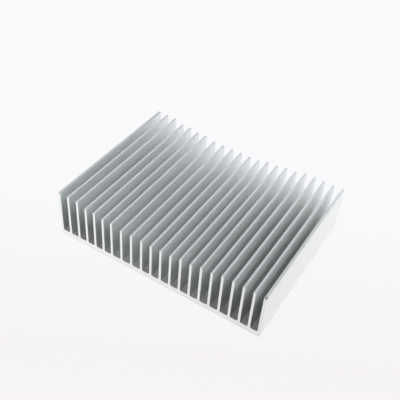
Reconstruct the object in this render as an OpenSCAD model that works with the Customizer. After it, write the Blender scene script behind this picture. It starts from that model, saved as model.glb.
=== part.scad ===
// Extruded aluminium heat sink.
// One constant section, a flat base with a comb of straight fins, pushed through a die
// and sawn square to length. The fin tips step down towards the middle, so that the comb
// has a shallow trough along its length. The outermost fins are thicker, with rounder tips.
// Origin: middle of the underside. +X runs across the fins, +Y along the extrusion, +Z up.

/* [Blank] */
// Length that the bar is sawn to, along the channels
cut_length = 100; // [25:1:300]
// Thickness of the base, from the underside to the channel floors
base_t = 3.5; // [2.4:0.1:10]
// Radius on the two lower edges of the base
base_edge_r = 0.8; // [0.2:0.1:1.5]

/* [Fins] */
// Thickness of each inner fin, which has parallel faces
fin_t = 1.5; // [1:0.05:1.8]
// Thickness of the outermost fin at each side
outer_fin_t = 1.9; // [1.85:0.05:2.6]
// Radius on each edge of an inner fin's tip
tip_r = 0.45; // [0.1:0.05:0.45]
// Radius on each edge of an outermost fin's tip
outer_tip_r = 0.7; // [0.1:0.05:0.9]
// Radius in the root of each channel
root_r = 0.9; // [0.3:0.1:1.2]

/* [Tip heights above the underside] */
// Height of the tall fins on the left side
left_tall_h = 31.8; // [26:0.1:60]
// Height of the tall fins on the right side
right_tall_h = 31.4; // [26:0.1:60]
// Height of the fins one step down
upper_step_h = 29.5; // [22:0.1:60]
// Height of the fins two steps down
lower_step_h = 28.1; // [20:0.1:60]
// Height of the low fins along the trough
trough_h = 26.5; // [16:0.1:60]

/* [How many fins stand at each height] */
// Tall fins on the left side
left_tall_n = 3; // [1:1:6]
// Fins on each of the four steps
step_n = 2; // [1:1:4]
// Low fins along the trough
trough_n = 6; // [2:1:12]
// Tall fins on the right side
right_tall_n = 5; // [1:1:8]

/* [Spacing from fin to fin] */
// Spacing of the outermost fins on the left
left_pitch = 6.35; // [5:0.05:9]
// Spacing down the left steps
left_step_pitch = 5.9; // [5:0.05:9]
// Spacing into the left half of the trough
left_trough_pitch = 6.75; // [5:0.05:9]
// Spacing from the middle of the trough up the right steps
main_pitch = 6.3; // [5:0.05:9]
// Spacing of the outermost fins on the right
right_pitch = 6.1; // [5:0.05:9]

/* [Hidden] */
// How far a fillet or a fin is sunk into the metal beside it, so that they join
sink = 0.4;
// Number of fins at each height, from left to right, and that height
height_runs = [
    [left_tall_n, left_tall_h], [step_n, upper_step_h], [step_n, lower_step_h],
    [trough_n, trough_h],
    [step_n, lower_step_h], [step_n, upper_step_h], [right_tall_n, right_tall_h]
];
// Number of gaps at each spacing, from left to right, and that spacing; the last one goes on
pitch_runs = [
    [2, left_pitch], [4, left_step_pitch], [3, left_trough_pitch],
    [9, main_pitch], [99, right_pitch]
];

function total(runs, n, k = 0) = k == n ? 0 : runs[k][0] + total(runs, n, k + 1);
function value_at(runs, i, k = 0) =
    i < runs[k][0] || k == len(runs) - 1 ? runs[k][1] : value_at(runs, i - runs[k][0], k + 1);

fin_n = total(height_runs, len(height_runs));
function run_up(i) = i == 0 ? 0 : run_up(i - 1) + value_at(pitch_runs, i - 1);
span = run_up(fin_n - 1);
width = span + outer_fin_t;
function fin_x(i) = run_up(i) - span / 2;
function fin_h(i) = value_at(height_runs, i);
function is_outer(i) = i == 0 || i == fin_n - 1;
function fin_thick(i) = is_outer(i) ? outer_fin_t : fin_t;
function fin_tip_r(i) = is_outer(i) ? outer_tip_r : tip_r;

// What a round of radius r takes off a square corner whose point is at the origin
// and whose metal lies towards -X and -Y
module corner_waste(r) {
    difference() {
        translate([-r, -r]) square(r + sink);
        translate([-r, -r]) circle(r = r, $fn = 32);
    }
}

// Fillet in the corner of a channel: floor below, fin to the left, corner at the origin
module root_fillet() {
    difference() {
        translate([-sink, -sink]) square(root_r + sink);
        translate([root_r, root_r]) circle(r = root_r, $fn = 32);
    }
}

module base_section() {
    difference() {
        translate([-width / 2, 0]) square([width, base_t]);
        for (side = [0, 1]) mirror([side, 0])
            translate([width / 2, 0]) mirror([0, 1]) corner_waste(base_edge_r);
    }
}

module fin_section(h, t, r) {
    difference() {
        translate([-t / 2, base_t - sink]) square([t, h - base_t + sink]);
        for (side = [0, 1]) mirror([side, 0])
            translate([t / 2, h]) corner_waste(r);
    }
}

module section() {
    base_section();
    for (i = [0 : fin_n - 1])
        translate([fin_x(i), 0]) fin_section(fin_h(i), fin_thick(i), fin_tip_r(i));
    for (i = [0 : fin_n - 2]) {
        translate([fin_x(i) + fin_thick(i) / 2, base_t]) root_fillet();
        translate([fin_x(i + 1) - fin_thick(i + 1) / 2, base_t]) mirror([1, 0]) root_fillet();
    }
}

module heat_sink() {
    color([0.80, 0.81, 0.82])
    translate([0, cut_length / 2, 0]) rotate([90, 0, 0])
        linear_extrude(height = cut_length) section();
}

heat_sink();
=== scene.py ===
import math

import bpy
from mathutils import Matrix, Vector, geometry, noise


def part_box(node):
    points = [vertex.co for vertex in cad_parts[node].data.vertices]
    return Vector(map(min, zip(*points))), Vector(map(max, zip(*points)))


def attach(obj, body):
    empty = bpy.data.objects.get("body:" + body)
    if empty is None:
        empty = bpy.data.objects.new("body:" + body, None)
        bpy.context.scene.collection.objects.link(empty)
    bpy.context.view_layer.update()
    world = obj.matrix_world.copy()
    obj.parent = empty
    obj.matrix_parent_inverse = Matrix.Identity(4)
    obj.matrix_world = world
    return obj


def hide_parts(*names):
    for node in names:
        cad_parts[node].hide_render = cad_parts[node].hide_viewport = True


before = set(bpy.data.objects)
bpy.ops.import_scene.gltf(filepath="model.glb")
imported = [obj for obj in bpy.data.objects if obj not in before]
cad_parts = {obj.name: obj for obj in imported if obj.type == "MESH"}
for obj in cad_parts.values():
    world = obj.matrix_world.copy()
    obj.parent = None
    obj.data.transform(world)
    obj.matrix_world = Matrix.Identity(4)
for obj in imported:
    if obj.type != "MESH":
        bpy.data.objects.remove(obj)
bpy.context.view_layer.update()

MM = 0.001
scene = bpy.context.scene

# ---------------------------------------------------------------- camera
cam_data = bpy.data.cameras.new("camera")
cam_data.sensor_fit = "AUTO"
cam_data.sensor_width = 36.0
cam_data.lens = 58.111
cam_data.clip_start = 0.01
cam_data.clip_end = 20.0
cam = bpy.data.objects.new("camera", cam_data)
scene.collection.objects.link(cam)
right = Vector((0.848557, 0.525112, 0.064867))
down = Vector((0.394239, -0.54573, -0.739428))
ahead = Vector((-0.352884, 0.65302, -0.670103))
turn = Matrix((right, -down, -ahead)).transposed()
cam.matrix_world = Matrix.Translation(Vector((131.087, -247.43, 277.037)) * MM) @ turn.to_4x4()
scene.camera = cam

# ---------------------------------------------------------------- the section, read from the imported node
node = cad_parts["heat_sink"]
low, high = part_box("heat_sink")


def section_loop(obj, y, tol=2e-6):
    """The closed outline of the node's cap at y, as an ordered list of (x, z)."""
    me = obj.data
    me.calc_loop_triangles()
    pts, index, count = [], {}, {}

    def key(v):
        k = (round(v.co.x * 1e6), round(v.co.z * 1e6))
        if k not in index:
            index[k] = len(pts)
            pts.append((v.co.x, v.co.z))
        return index[k]

    for t in me.loop_triangles:
        vs = [me.vertices[i] for i in t.vertices]
        if all(abs(v.co.y - y) < tol for v in vs):
            a, b, c = (key(v) for v in vs)
            for e in ((a, b), (b, c), (c, a)):
                k = (min(e), max(e))
                count[k] = count.get(k, 0) + 1
    near = {}
    for (a, b), n in count.items():
        if n == 1:
            near.setdefault(a, []).append(b)
            near.setdefault(b, []).append(a)
    start = min(near, key=lambda i: (pts[i][1], pts[i][0]))
    loop, last, here = [start], None, start
    while True:
        last, here = here, [n for n in near[here] if n != last][0]
        if here == start:
            break
        loop.append(here)
    loop = [pts[i] for i in loop]
    area = 0.5 * sum(a[0] * b[1] - b[0] * a[1] for a, b in zip(loop, loop[1:] + loop[:1]))
    return loop if area > 0 else loop[::-1]


def straight_runs(loop, least=0.3 * MM, tol=3e-6):
    """The flats of the outline (flanks, lands, floors, underside), as (start, end, direction), in order."""
    runs = []
    n = len(loop)
    for i in range(n):
        a, b = Vector(loop[i]), Vector(loop[(i + 1) % n])
        d = b - a
        if abs(d.x) < tol or abs(d.y) < tol:
            d = Vector((0, math.copysign(1, d.y))) if abs(d.x) < tol else Vector((math.copysign(1, d.x), 0))
            if runs and (runs[-1][1] - a).length < tol and runs[-1][2].dot(d) > 0.5:
                runs[-1] = (runs[-1][0], b, d)
            else:
                runs.append((a, b, d))
    if (runs[0][0] - runs[-1][1]).length < tol and runs[0][2].dot(runs[-1][2]) > 0.5:
        runs[0] = (runs[-1][0], runs[0][1], runs[0][2])
        runs.pop()
    return [r for r in runs if (r[1] - r[0]).length > least]


def smooth_outline(runs):
    """Points, outward normals and a rim mark around the section, with every corner rebuilt as a fine quarter round."""
    pts, nors, rims = [], [], []
    for (a, b, d), (a2, b2, d2) in zip(runs, runs[1:] + runs[:1]):
        out = Vector((d.y, -d.x))
        long = (b - a).length
        land = d.x < 0 and a.y > 0.5 * high.z
        if land:
            cuts = [0.0, 0.25, 0.5, 0.75, 1.0]
        elif long > 6 * MM:
            near = [0.35 * MM / long, 0.9 * MM / long, 1.8 * MM / long]
            inner = max(1, round(long / (4.0 * MM)))
            mid = [near[-1] + (1 - 2 * near[-1]) * k / inner for k in range(1, inner)]
            cuts = [0.0] + near + mid + [1 - v for v in reversed(near)] + [1.0]
        else:
            cuts = [0.0, 0.5, 1.0]
        for k, c in enumerate(cuts):
            p = a.lerp(b, c)
            pts.append(p)
            nors.append(out.copy())
            tip = land or (k in (0, len(cuts) - 1) and p.y > 0.6 * high.z)
            rims.append(0.8 if tip else 0.0)
        r = abs((a2 - b).dot(d))
        left = d.x * d2.y - d.y * d2.x > 0
        steps = 5 if r < 0.5 * MM else 8
        side = -out if left else out
        centre = b + side * r
        for k in range(1, steps):
            t = 0.5 * math.pi * k / steps
            ray = -side * math.cos(t) + d * math.sin(t)
            pts.append(centre + ray * r)
            nors.append(ray if left else -ray)
            rims.append(1.0 if left else 0.0)
    return pts, nors, rims


runs = straight_runs(section_loop(node, low.y))
pts, nors, rims = smooth_outline(runs)

# ---------------------------------------------------------------- the metal
EDGE = 0.13 * MM  # the sawn edges are barely broken
LENGTH = high.y - low.y
# a small chip where the tip of the right outer fin meets the front sawn end
BASE_TOP = max(a.y for a, b, d in runs if d.x < 0 and a.y < 0.5 * high.z)
RIGHT_TOP = max(a.y for a, b, d in runs if d.x < 0 and a.x > high.x - 3 * MM)
CHIP = Vector((high.x - 0.80 * MM, low.y, RIGHT_TOP - 0.25 * MM))
CHIP_R = Vector((0.72 * MM, 1.0 * MM, 1.15 * MM))


def rings():
    """(y, inset, lean of the normal towards the end) from the front end to the back end."""
    out = []
    for k in range(4):
        t = 0.5 * math.pi * (1 - k / 3)
        out.append((low.y + EDGE * (1 - math.sin(t)), EDGE * (1 - math.cos(t)), t))
    inner = [0.3, 0.5, 0.75, 1.0, 1.4, 2.0, 3.0, 4.5]
    n = 26
    ys = [low.y + v * MM for v in inner]
    ys += [low.y + 6.5 * MM + (LENGTH - 13.0 * MM) * k / n for k in range(n + 1)]
    ys += [high.y - v * MM for v in reversed(inner)]
    out += [(y, 0.0, 0.0) for y in ys]
    for k in range(4):
        t = 0.5 * math.pi * k / 3
        out.append((high.y - EDGE * (1 - math.sin(t)), EDGE * (1 - math.cos(t)), -t))
    return out


def cap_triangles(ring):
    """The sawn face inside one closed ring of points, as triangles of indices that face along +Y."""
    flat = [Vector((p.x * 1000, p.z * 1000)) for p in ring]
    n = len(flat)
    _, _, tris, origin, _, _ = geometry.delaunay_2d_cdt(flat, [(i, (i + 1) % n) for i in range(n)], [], 1, 1e-7)
    out = []
    for t in tris:
        a, b, c = (origin[i][0] for i in t)
        turn = (flat[b] - flat[a]).cross(flat[c] - flat[a])
        out.append((a, c, b) if turn > 0 else (a, b, c))
    return out


def build_metal():
    verts, normals, rim, nick, faces, kinds = [], [], [], [], [], []
    stack = rings()
    n = len(pts)
    for r, (y, inset, t) in enumerate(stack):
        end = r < 4 or r >= len(stack) - 4
        for p, m, mark in zip(pts, nors, rims):
            worn = 1 + 0.45 * noise.noise(Vector((p.x * 1400, y * 20, p.y * 1400)))
            q = Vector((p.x - m.x * inset * worn, y, p.y - m.y * inset * worn))
            nor = Vector((m.x * math.cos(t), -math.sin(t), m.y * math.cos(t)))
            off = q - CHIP
            k = (off.x / CHIP_R.x) ** 2 + (off.y / CHIP_R.y) ** 2 + (off.z / CHIP_R.z) ** 2
            deep = 0.0
            if k < 1:
                deep = (1 - k) ** 0.7
                q += Vector((0, 0.55 * MM, -0.62 * MM)) * deep
                nor = Vector((0, 0, 0))
            verts.append(q)
            normals.append(nor)
            # the saw left the far end as it came out of the bar, so its edges carry a dull burr
            deep = max(deep, 0.36) if y > high.y - 0.31 * MM else deep
            # and the left outer tip is scuffed duller along its inner edge
            scuffed = low.x + 0.8 * MM < p.x < low.x + 1.95 * MM and mark > 0
            nick.append(max(deep, 0.27) if scuffed else deep)
            mark = 0.0 if scuffed else mark
            rim.append(max(mark, 0.9 if 0 < r < 3 else 0.0) if end else mark)
    for r in range(len(stack) - 1):
        sawn = r < 3 or r >= len(stack) - 4
        for i in range(n):
            j = (i + 1) % n
            faces.append((r * n + i, (r + 1) * n + i, (r + 1) * n + j, r * n + j))
            mid = (pts[i] + pts[j]) / 2
            trench = abs(mid.x) < high.x - 1 * MM and abs(mid.y - BASE_TOP - 0.4 * MM) < 0.45 * MM
            kinds.append(1 if sawn else 2 if trench else 0)
    top = (len(stack) - 1) * n
    for a, b, c in cap_triangles(verts[:n]):
        faces.append((a, c, b))
        kinds.append(1)
    for a, b, c in cap_triangles(verts[top:]):
        faces.append((top + a, top + b, top + c))
        kinds.append(1)
    me = bpy.data.meshes.new("heat_sink_metal")
    me.from_pydata(verts, [], faces)
    me.update()
    for name, values in (("rim", rim), ("nick", nick)):
        me.attributes.new(name, "FLOAT", "POINT").data.foreach_set("value", values)
    for f, kind in zip(me.polygons, kinds):
        f.material_index = kind
        f.use_smooth = True
    me.normals_split_custom_set_from_vertices(normals)
    return me


metal = bpy.data.objects.new("heat_sink_metal", build_metal())
scene.collection.objects.link(metal)
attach(metal, "root")
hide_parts("heat_sink")


# ---------------------------------------------------------------- finishes
class Graph:
    """Short names for building a material's nodes."""

    def __init__(self, name):
        self.mat = bpy.data.materials.new(name)
        self.mat.use_nodes = True
        self.tree = self.mat.node_tree
        self.bsdf = self.tree.nodes["Principled BSDF"]
        self.coord = self.tree.nodes.new("ShaderNodeTexCoord").outputs["Object"]

    def put(self, socket, value):
        if hasattr(value, "is_output"):
            self.tree.links.new(value, socket)
        elif value is not None:
            socket.default_value = value

    def math(self, op, a, b=None, c=None, clamp=False):
        n = self.tree.nodes.new("ShaderNodeMath")
        n.operation = op
        n.use_clamp = clamp
        for s, v in zip(n.inputs, (a, b, c)):
            self.put(s, v)
        return n.outputs[0]

    def vector(self, op, a, b=None, scale=None):
        n = self.tree.nodes.new("ShaderNodeVectorMath")
        n.operation = op
        self.put(n.inputs[0], a)
        if b is not None:
            self.put(n.inputs[1], b)
        if scale is not None:
            self.put(n.inputs["Scale"], scale)
        return n.outputs["Value"] if op in ("LENGTH", "DOT_PRODUCT", "DISTANCE") else n.outputs["Vector"]

    def noise(self, scale, detail=2.0, rough=0.5, w=0.0, at=None, per_mm=(1, 1, 1)):
        stretched = self.vector("MULTIPLY", at or self.coord, tuple(1000.0 * s for s in per_mm))
        n = self.tree.nodes.new("ShaderNodeTexNoise")
        n.noise_dimensions = "4D"
        self.put(n.inputs["Vector"], stretched)
        n.inputs["W"].default_value = w
        n.inputs["Scale"].default_value = scale
        n.inputs["Detail"].default_value = detail
        n.inputs["Roughness"].default_value = rough
        return n.outputs["Fac"]

    def spread(self, value, lo, hi, to_lo=0.0, to_hi=1.0):
        n = self.tree.nodes.new("ShaderNodeMapRange")
        n.interpolation_type = "SMOOTHSTEP"
        for s, v in zip(n.inputs, (value, lo, hi, to_lo, to_hi)):
            self.put(s, v)
        return n.outputs[0]

    def mix(self, factor, a, b):
        n = self.tree.nodes.new("ShaderNodeMix")
        n.data_type = "RGBA"
        self.put(n.inputs[0], factor)
        self.put(n.inputs[6], a)
        self.put(n.inputs[7], b)
        return n.outputs[2]

    def axis(self, name):
        n = self.tree.nodes.new("ShaderNodeSeparateXYZ")
        self.put(n.inputs[0], self.coord)
        return n.outputs[name]

    def bump(self, height, strength, distance, normal=None):
        n = self.tree.nodes.new("ShaderNodeBump")
        n.inputs["Strength"].default_value = strength
        n.inputs["Distance"].default_value = distance
        self.put(n.inputs["Height"], height)
        if normal is not None:
            self.put(n.inputs["Normal"], normal)
        return n.outputs[0]

    def attribute(self, name):
        n = self.tree.nodes.new("ShaderNodeAttribute")
        n.attribute_name = name
        return n.outputs["Fac"]


def grey(v):
    return (v, v * 1.003, v * 1.002, 1)


def extruded_skin(name, roughness, drawn, shade_tint=(1, 1, 1, 1)):
    """Aluminium as it leaves the die: satin, drawn along Y, with die lines and faint handling marks."""
    g = Graph(name)
    fine = g.noise(1.0, 3.0, 0.6, 0.3, per_mm=(3.2, 0.012, 3.2))
    lines = g.noise(1.0, 2.0, 0.5, 1.7, per_mm=(0.75, 0.004, 0.75))
    bands = g.noise(1.0, 1.0, 0.5, 4.1, per_mm=(0.17, 0.006, 0.17))
    cloud = g.noise(1.0, 3.0, 0.55, 7.9, per_mm=(0.09, 0.05, 0.09))
    speck = g.noise(1.0, 2.0, 0.6, 2.2, per_mm=(2.4, 0.9, 2.4))
    rub = g.noise(1.0, 4.0, 0.62, 9.3, per_mm=(0.5, 0.22, 0.5))
    rim = g.attribute("rim")
    # colour: a light grey metal whose shade drifts a little from line to line
    shade = g.math("MULTIPLY_ADD", g.spread(lines, 0.3, 0.7), 0.45, g.math("MULTIPLY", g.spread(bands, 0.3, 0.7), 0.35))
    shade = g.math("ADD", shade, g.math("MULTIPLY", g.spread(cloud, 0.35, 0.68), 0.2), clamp=True)
    base = g.mix(shade, grey(SKIN_DARK), grey(SKIN_LIGHT))
    # painted shade: the skin is painted lighter on the left and darker towards the right, standing in for light that
    # falls more on the left
    side = g.math("DIVIDE", g.math("SUBTRACT", g.axis("X"), low.x), high.x - low.x)
    base = g.vector("MULTIPLY", g.vector("MULTIPLY", base, g.mix(side, SKIN_LEFT_LIT, SKIN_RIGHT_SHADED)), shade_tint[:3])
    # painted shade: down inside the last channels on the right the skin is painted darker still
    deep = g.math("MULTIPLY", g.spread(g.axis("Z"), low.z + 27 * MM, low.z + 20 * MM), g.spread(side, 0.68, 0.86))
    deep = g.math("MULTIPLY", deep, g.spread(g.axis("Z"), low.z + 4 * MM, low.z + 8 * MM))
    base = g.vector("SCALE", base, None, g.spread(deep, 0.0, 1.0, 1.0, RIGHT_DEEP_SHADE))
    # the outer flanks are lighter, with a mottle, up over the corner
    flank = g.spread(g.math("ABSOLUTE", g.axis("X")), high.x - 0.6 * MM, high.x - 0.35 * MM)
    mottle = g.math("MULTIPLY_ADD", g.spread(rub, 0.35, 0.65), 0.5, g.math("MULTIPLY", g.spread(lines, 0.3, 0.7), 0.5))
    base = g.mix(flank, base, g.mix(mottle, FLANK_DULL, FLANK))
    dull = g.spread(speck, 0.66, 0.76, 0.0, 0.3)
    base = g.mix(dull, base, (0.80, 0.80, 0.795, 1))
    # painted highlight: the lands, tip rounds and broken end edges are painted lighter, partly burnished wear and
    # partly a painted highlight along the edges
    base = g.mix(g.math("MULTIPLY", rim, 0.75), base, RIM_WEAR_AND_HIGHLIGHT)
    base = g.mix(g.spread(g.attribute("nick"), 0.15, 0.6), base, NICK)
    g.put(g.bsdf.inputs["Base Color"], base)
    g.bsdf.inputs["Metallic"].default_value = 1.0
    # roughness: lines, duller patches, slightly burnished tips
    rough = g.math("MULTIPLY_ADD", g.math("SUBTRACT", fine, 0.5), 0.16, roughness)
    rough = g.math("MULTIPLY_ADD", g.math("SUBTRACT", lines, 0.5), 0.10, rough)
    rough = g.math("ADD", rough, g.spread(rub, 0.56, 0.72, 0.0, 0.05))
    rough = g.math("SUBTRACT", rough, g.spread(rim, 0.82, 0.98, 0.03, 0.2), clamp=True)
    g.put(g.bsdf.inputs["Roughness"], rough)
    g.bsdf.inputs["Anisotropic"].default_value = drawn
    normal = g.tree.nodes.new("ShaderNodeNewGeometry").outputs["Normal"]
    g.put(g.bsdf.inputs["Tangent"], g.vector("CROSS_PRODUCT", normal, (0, 1, 0)))
    height = g.math("MULTIPLY_ADD", fine, 0.35, lines)
    n1 = g.bump(height, 0.35, 0.00002)
    g.put(g.bsdf.inputs["Normal"], g.bump(rub, 0.12, 0.00004, n1))
    return g.mat


def sawn_end():
    """The saw's face: bright bare metal with the shallow arcs that the blade leaves."""
    g = Graph("sawn_end")
    wander = g.noise(1.0, 2.0, 0.5, 3.3, per_mm=(0.22, 0.22, 0.22))
    radius = g.vector("DISTANCE", g.vector("MULTIPLY", g.coord, (1, 0, 1)), (-0.062, 0.0, -0.118))
    phase = g.math("MULTIPLY_ADD", radius, 2 * math.pi / (0.42 * MM), g.math("MULTIPLY", wander, 5.0))
    marks = g.math("MULTIPLY_ADD", g.math("SINE", phase), 0.5, 0.5)
    scratch = g.noise(1.0, 3.0, 0.6, 5.1, per_mm=(2.2, 2.2, 2.2))
    drift = g.noise(1.0, 2.0, 0.5, 8.2, per_mm=(0.14, 0.14, 0.14))
    shade = g.math("MULTIPLY_ADD", marks, 0.3, g.math("MULTIPLY", g.spread(drift, 0.3, 0.7), 0.7))
    base = g.mix(shade, grey(SAWN_DARK), grey(SAWN_LIGHT))
    # painted shade: the sawn ends are painted lighter on the left and darker towards the right
    side = g.math("DIVIDE", g.math("SUBTRACT", g.axis("X"), low.x), high.x - low.x)
    base = g.vector("MULTIPLY", base, g.mix(side, SAWN_LEFT_LIT, SAWN_RIGHT_SHADED))
    # painted contact shadow: the sawn face is painted darker along its foot, where the bar stands on the floor
    base = g.vector("SCALE", base, None, g.spread(g.axis("Z"), low.z + 0.4 * MM, low.z + 1.5 * MM, 0.90, 1.0))
    base = g.mix(g.spread(g.attribute("nick"), 0.15, 0.6), base, NICK)
    g.put(g.bsdf.inputs["Base Color"], base)
    g.bsdf.inputs["Metallic"].default_value = 1.0
    rough = g.math("MULTIPLY_ADD", g.math("SUBTRACT", scratch, 0.5), 0.12, SAWN_ROUGH)
    rough = g.math("MULTIPLY_ADD", g.math("SUBTRACT", marks, 0.5), 0.05, rough, clamp=True)
    g.put(g.bsdf.inputs["Roughness"], rough)
    height = g.math("MULTIPLY_ADD", scratch, 0.5, marks)
    g.put(g.bsdf.inputs["Normal"], g.bump(height, 0.12, 0.000012))
    return g.mat


SKIN_DARK, SKIN_LIGHT, SKIN_ROUGH, SKIN_DRAWN = 0.905, 0.945, 0.55, 0.87
SKIN_LEFT_LIT, SKIN_RIGHT_SHADED = (1.046, 1.051, 1.055, 1), (0.948, 0.956, 0.953, 1)
RIGHT_DEEP_SHADE = 0.93
RIM_WEAR_AND_HIGHLIGHT = (0.985, 0.976, 0.988, 1)
FLOOR_ROUGH, FLOOR_DRAWN, CHANNEL_FLOOR_SHADE = 0.5, 0.42, (0.92, 0.893, 0.885, 1)
NICK = (0.42, 0.42, 0.42, 1)
FLANK, FLANK_DULL = (1.0, 0.995, 0.985, 1), (0.975, 0.962, 0.953, 1)
SAWN_DARK, SAWN_LIGHT, SAWN_ROUGH = 0.89, 0.93, 0.38
SAWN_LEFT_LIT, SAWN_RIGHT_SHADED = (1.052, 1.066, 1.056, 1), (0.908, 0.931, 0.907, 1)
metal.data.materials.append(extruded_skin("extruded_skin", SKIN_ROUGH, SKIN_DRAWN))
metal.data.materials.append(sawn_end())
# painted shade: the channel floors are painted darker and warmer than the flanks, standing in for the shade down in the
# channels
metal.data.materials.append(extruded_skin("channel_floor", FLOOR_ROUGH, FLOOR_DRAWN, CHANNEL_FLOOR_SHADE))

# ---------------------------------------------------------------- floor: a lit white table
floor_mesh = bpy.data.meshes.new("floor")
S = 3.0
floor_mesh.from_pydata([(-S, -S, 0), (S, -S, 0), (S, S, 0), (-S, S, 0)], [], [(0, 1, 2, 3)])
floor = bpy.data.objects.new("floor", floor_mesh)
floor.location.z = low.z - 0.00002
scene.collection.objects.link(floor)
floor_mat = bpy.data.materials.new("floor_white")
floor_mat.use_nodes = True
floor_bsdf = floor_mat.node_tree.nodes["Principled BSDF"]
floor_bsdf.inputs["Base Color"].default_value = (0.0, 0.0, 0.0, 1)
floor_bsdf.inputs["Roughness"].default_value = 1.0
floor_bsdf.inputs["Specular IOR Level"].default_value = 0.0
floor_bsdf.inputs["Emission Strength"].default_value = 1.0
floor_mesh.materials.append(floor_mat)


def floor_node(kind, operation, *values):
    n = floor_mat.node_tree.nodes.new(kind)
    if operation:
        n.operation = operation
    for s, v in zip(n.inputs, values):
        if hasattr(v, "is_output"):
            floor_mat.node_tree.links.new(v, s)
        elif v is not None:
            s.default_value = v
    return n


# the paper is a little warmer and less lit towards the front left, and clean white from the object's middle back
place = floor_node("ShaderNodeTexCoord", None).outputs["Object"]
along = floor_node("ShaderNodeVectorMath", "DOT_PRODUCT", place, (-0.473, 0.881, 0.0)).outputs["Value"]
ramp = floor_mat.node_tree.nodes.new("ShaderNodeValToRGB")
floor_mat.node_tree.links.new(floor_node("ShaderNodeMath", "MULTIPLY_ADD", along, 2.0, 0.5).outputs[0], ramp.inputs[0])
tones = [  # how far past the object's middle, in metres, and the white there
    (-0.25, (0.950, 0.950, 0.958)), (-0.15, (0.932, 0.912, 0.918)), (-0.09, (0.930, 0.902, 0.908)), (-0.07, (0.931, 0.911, 0.915)),
    (-0.05, (0.935, 0.920, 0.928)), (-0.03, (0.938, 0.930, 0.935)), (-0.01, (0.942, 0.942, 0.947)), (0.015, (0.947, 0.948, 0.960)),
    (0.045, (0.949, 0.951, 0.967)), (0.10, (0.951, 0.953, 0.970)), (0.20, (0.955, 0.955, 0.972)),
]
while len(ramp.color_ramp.elements) < len(tones):
    ramp.color_ramp.elements.new(0.5)
for e, (where, tone) in zip(ramp.color_ramp.elements, tones):
    e.position = where * 2.0 + 0.5
    e.color = (*tone, 1)
floor_mat.node_tree.links.new(ramp.outputs["Color"], floor_bsdf.inputs["Emission Color"])

# ---------------------------------------------------------------- backdrop: pale paper behind low views, which lights nothing
def dome(radius, rows=12, columns=48):
    pts_, quads = [], []
    for r in range(rows + 1):
        e = 0.5 * math.pi * r / rows
        for c in range(columns):
            a = 2 * math.pi * c / columns
            pts_.append((radius * math.cos(e) * math.cos(a), radius * math.cos(e) * math.sin(a), radius * math.sin(e)))
    for r in range(rows):
        for c in range(columns):
            d = (c + 1) % columns
            quads.append((r * columns + c, r * columns + d, (r + 1) * columns + d, (r + 1) * columns + c))
    me = bpy.data.meshes.new("backdrop")
    me.from_pydata(pts_, [], quads)
    me.update()
    return me


backdrop = bpy.data.objects.new("backdrop", dome(2.9))
backdrop.location.z = floor.location.z
scene.collection.objects.link(backdrop)
for ray in ("diffuse", "glossy", "transmission", "volume_scatter", "shadow"):
    setattr(backdrop, "visible_" + ray, False)
paper = bpy.data.materials.new("backdrop_white")
paper.use_nodes = True
paper_bsdf = paper.node_tree.nodes["Principled BSDF"]
paper_bsdf.inputs["Base Color"].default_value = (0.0, 0.0, 0.0, 1)
paper_bsdf.inputs["Specular IOR Level"].default_value = 0.0
paper_bsdf.inputs["Emission Color"].default_value = (0.953, 0.954, 0.971, 1)
paper_bsdf.inputs["Emission Strength"].default_value = 1.0
backdrop.data.materials.append(paper)

# ---------------------------------------------------------------- light
COOL = (0.945, 1.0, 1.01)


world = bpy.data.worlds.new("studio")
scene.world = world
world.use_nodes = True
sky = world.node_tree


def sky_node(kind, operation, *values):
    n = sky.nodes.new(kind)
    n.operation = operation
    for s, v in zip(n.inputs, values):
        if hasattr(v, "is_output"):
            sky.links.new(v, s)
        else:
            s.default_value = v
    return n


def glow(azimuth, elevation, tightness, radiance):
    """A soft round light in the surroundings; azimuth 0 is +Y and 90 is +X, and radiance is its brightness at the middle."""
    a, e = math.radians(azimuth), math.radians(elevation)
    aim = (math.cos(e) * math.sin(a), math.cos(e) * math.cos(a), math.sin(e))
    along = sky_node("ShaderNodeVectorMath", "DOT_PRODUCT", sky_dir, aim).outputs["Value"]
    fall = sky_node("ShaderNodeMath", "MULTIPLY_ADD", along, tightness, -tightness).outputs[0]
    return sky_node("ShaderNodeMath", "MULTIPLY", sky_node("ShaderNodeMath", "EXPONENT", fall).outputs[0], radiance).outputs[0]


sky_dir = sky_node("ShaderNodeVectorMath", "NORMALIZE", sky.nodes.new("ShaderNodeTexCoord").outputs["Generated"]).outputs["Vector"]
strength = 0.18
for lamp in (
    (1.4, -5.0, 8.33, 4.95),  # low glow of the backdrop
    (70.3, 59.7, 16.0, 2.44),  # right softbox
    (279.0, 45.4, 7.9, 1.06),  # left softbox
):
    strength = sky_node("ShaderNodeMath", "ADD", glow(*lamp), strength).outputs[0]
bg = sky.nodes["Background"]
bg.inputs["Color"].default_value = (*COOL, 1)
sky.links.new(strength, bg.inputs["Strength"])
scene.view_settings.view_transform = "Standard"
scene.cycles.max_bounces = 24
scene.cycles.glossy_bounces = 16
scene.cycles.diffuse_bounces = 8
